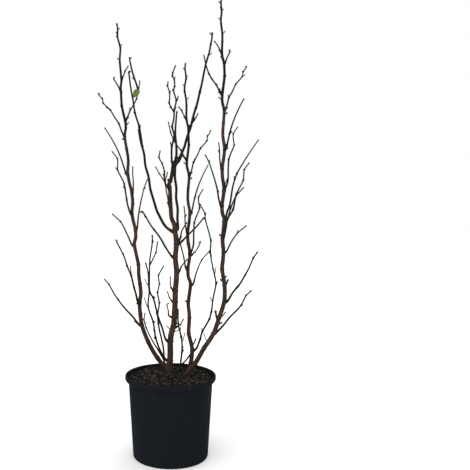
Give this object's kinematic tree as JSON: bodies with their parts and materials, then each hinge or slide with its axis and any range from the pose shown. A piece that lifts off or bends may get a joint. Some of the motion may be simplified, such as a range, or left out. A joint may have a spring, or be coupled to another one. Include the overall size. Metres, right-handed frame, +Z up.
{
  "type": "potted magnolia shrub",
  "caption": "Bare multi-stemmed magnolia shrub with closed buds in a black nursery pot that stands on its flat base; a garden or patio plant.",
  "frame": {"origin": "centre of the pot's flat underside, which the plant stands on", "axes": "+Z up along the stems, +X to the right and -Y towards the viewer of the picture"},
  "size_m": [0.5066, 0.3319, 1.3942],
  "materials": {
    "pot": "satin moulded polypropylene",
    "potting_soil": "rough crumbly peat and bark",
    "bark": "rough young bark",
    "twigs": "smooth dark twig bark with buds"
  },
  "bodies": {
    "root": {"pot": "pot", "potting_soil": "potting_soil", "centre_stem": "bark", "right_stem": "bark", "middle_stem": "bark", "left_stem": "bark", "leader_bough": "bark", "left_bough_lower": "bark", "left_bough_upper": "bark", "right_bough_lower": "bark", "right_bough_upper": "bark", "right_top_twigs": "twigs", "middle_top_twigs": "twigs", "left_top_twigs": "twigs", "right_shoot_a": "twigs", "right_shoot_b": "twigs", "right_shoot_c": "twigs", "right_shoot_d": "twigs", "right_shoot_e": "twigs", "right_shoot_f": "twigs", "right_shoot_g": "twigs", "right_shoot_h": "twigs", "right_shoot_i": "twigs", "right_shoot_k": "twigs", "right_shoot_l": "twigs", "middle_shoot_a": "twigs", "middle_shoot_b": "twigs", "middle_shoot_c": "twigs", "middle_shoot_d": "twigs", "middle_shoot_e": "twigs", "middle_shoot_f": "twigs", "left_shoot_a": "twigs", "left_shoot_b": "twigs", "left_shoot_c": "twigs", "left_shoot_e": "twigs", "left_shoot_f": "twigs", "left_shoot_j": "twigs", "left_shoot_k": "twigs", "leader_twigs_a": "twigs", "leader_twigs_b": "twigs", "leader_twigs_c": "twigs", "leader_twigs_d": "twigs", "left_bough_twigs": "twigs", "right_bough_twigs": "twigs", "centre_shoot_a": "twigs", "centre_shoot_b": "twigs", "centre_shoot_c": "twigs", "centre_shoot_d": "twigs", "centre_shoot_e": "twigs", "centre_shoot_f": "twigs", "centre_shoot_g": "twigs", "centre_shoot_h": "twigs", "middle_long_twig": "twigs", "low_shoot_a": "twigs", "low_shoot_b": "twigs", "low_shoot_c": "twigs", "low_shoot_d": "twigs", "low_shoot_e": "twigs"}
  },
  "joints": []
}
